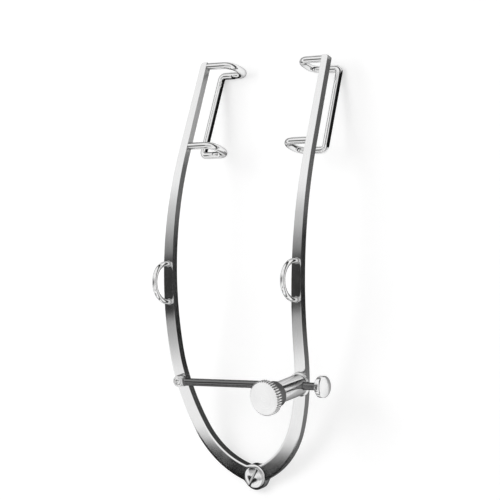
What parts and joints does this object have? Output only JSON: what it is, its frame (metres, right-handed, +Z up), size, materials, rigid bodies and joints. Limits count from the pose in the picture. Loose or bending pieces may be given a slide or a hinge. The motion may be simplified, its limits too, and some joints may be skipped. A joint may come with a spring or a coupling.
{
  "type": "eye speculum",
  "caption": "Self-retaining eye speculum: pivoted bowed arms with bent-wire lid blades, held apart by a cross rod that a thumb screw clamps in a swivelling post.",
  "frame": {"origin": "on the table, under the middle of the bounding box", "axes": "+Y from the pivot screw towards the lid blades, +X from the riveted end of the cross rod to its knob, +Z up, away from the table and the face"},
  "size_m": [0.0422, 0.0918, 0.0218],
  "materials": {
    "polished_bar_steel": "polished stainless bar",
    "polished_wire_steel": "polished stainless wire",
    "turned_steel": "turned and polished stainless",
    "drawn_rod_steel": "drawn stainless rod, finely filed along its length",
    "knurled_steel": "turned stainless with a straight knurl"
  },
  "bodies": {
    "left_arm": {"left_arm": "polished_bar_steel", "left_blade_wire": "polished_wire_steel", "left_finger_loop": "polished_wire_steel", "rod_rivet": "turned_steel"},
    "right_arm": {"right_arm": "polished_bar_steel", "right_blade_wire": "polished_wire_steel", "right_finger_loop": "polished_wire_steel", "pivot_screw": "turned_steel"},
    "cross_rod": {"cross_rod": "drawn_rod_steel", "rod_knob": "turned_steel"},
    "clamp_post": {"clamp_post": "turned_steel"},
    "thumb_screw": {"thumb_screw": "knurled_steel"}
  },
  "joints": [
    {"name": "arm_pivot", "type": "hinge", "parent": "left_arm", "child": "right_arm", "pos_m": [-0.00263, -0.04304, 0.00158], "axis": [0, -0.3195, 0.9476], "range_deg": [-9.5, 10.8]},
    {"name": "rod_swivel", "type": "hinge", "parent": "left_arm", "child": "cross_rod", "pos_m": [-0.01858, -0.02296, 0.00835], "axis": [0, -0.3195, 0.9476], "range_deg": [-4.7, 5.3]},
    {"name": "post_swivel", "type": "hinge", "parent": "right_arm", "child": "clamp_post", "pos_m": [0.01316, -0.0238, 0.00807], "axis": [0, -0.3195, 0.9476], "range_deg": [-5.8, 5.1]},
    {"name": "thumb_turn", "type": "hinge", "parent": "clamp_post", "child": "thumb_screw", "pos_m": [0.01316, -0.0238, 0.00807], "axis": [0, -0.3195, 0.9476], "range_deg": [0, 360]}
  ],
  "couplings": [
    {"joint": "rod_swivel", "follows": "arm_pivot", "ratio": 0.4784},
    {"joint": "post_swivel", "follows": "arm_pivot", "ratio": -0.5216}
  ]
}
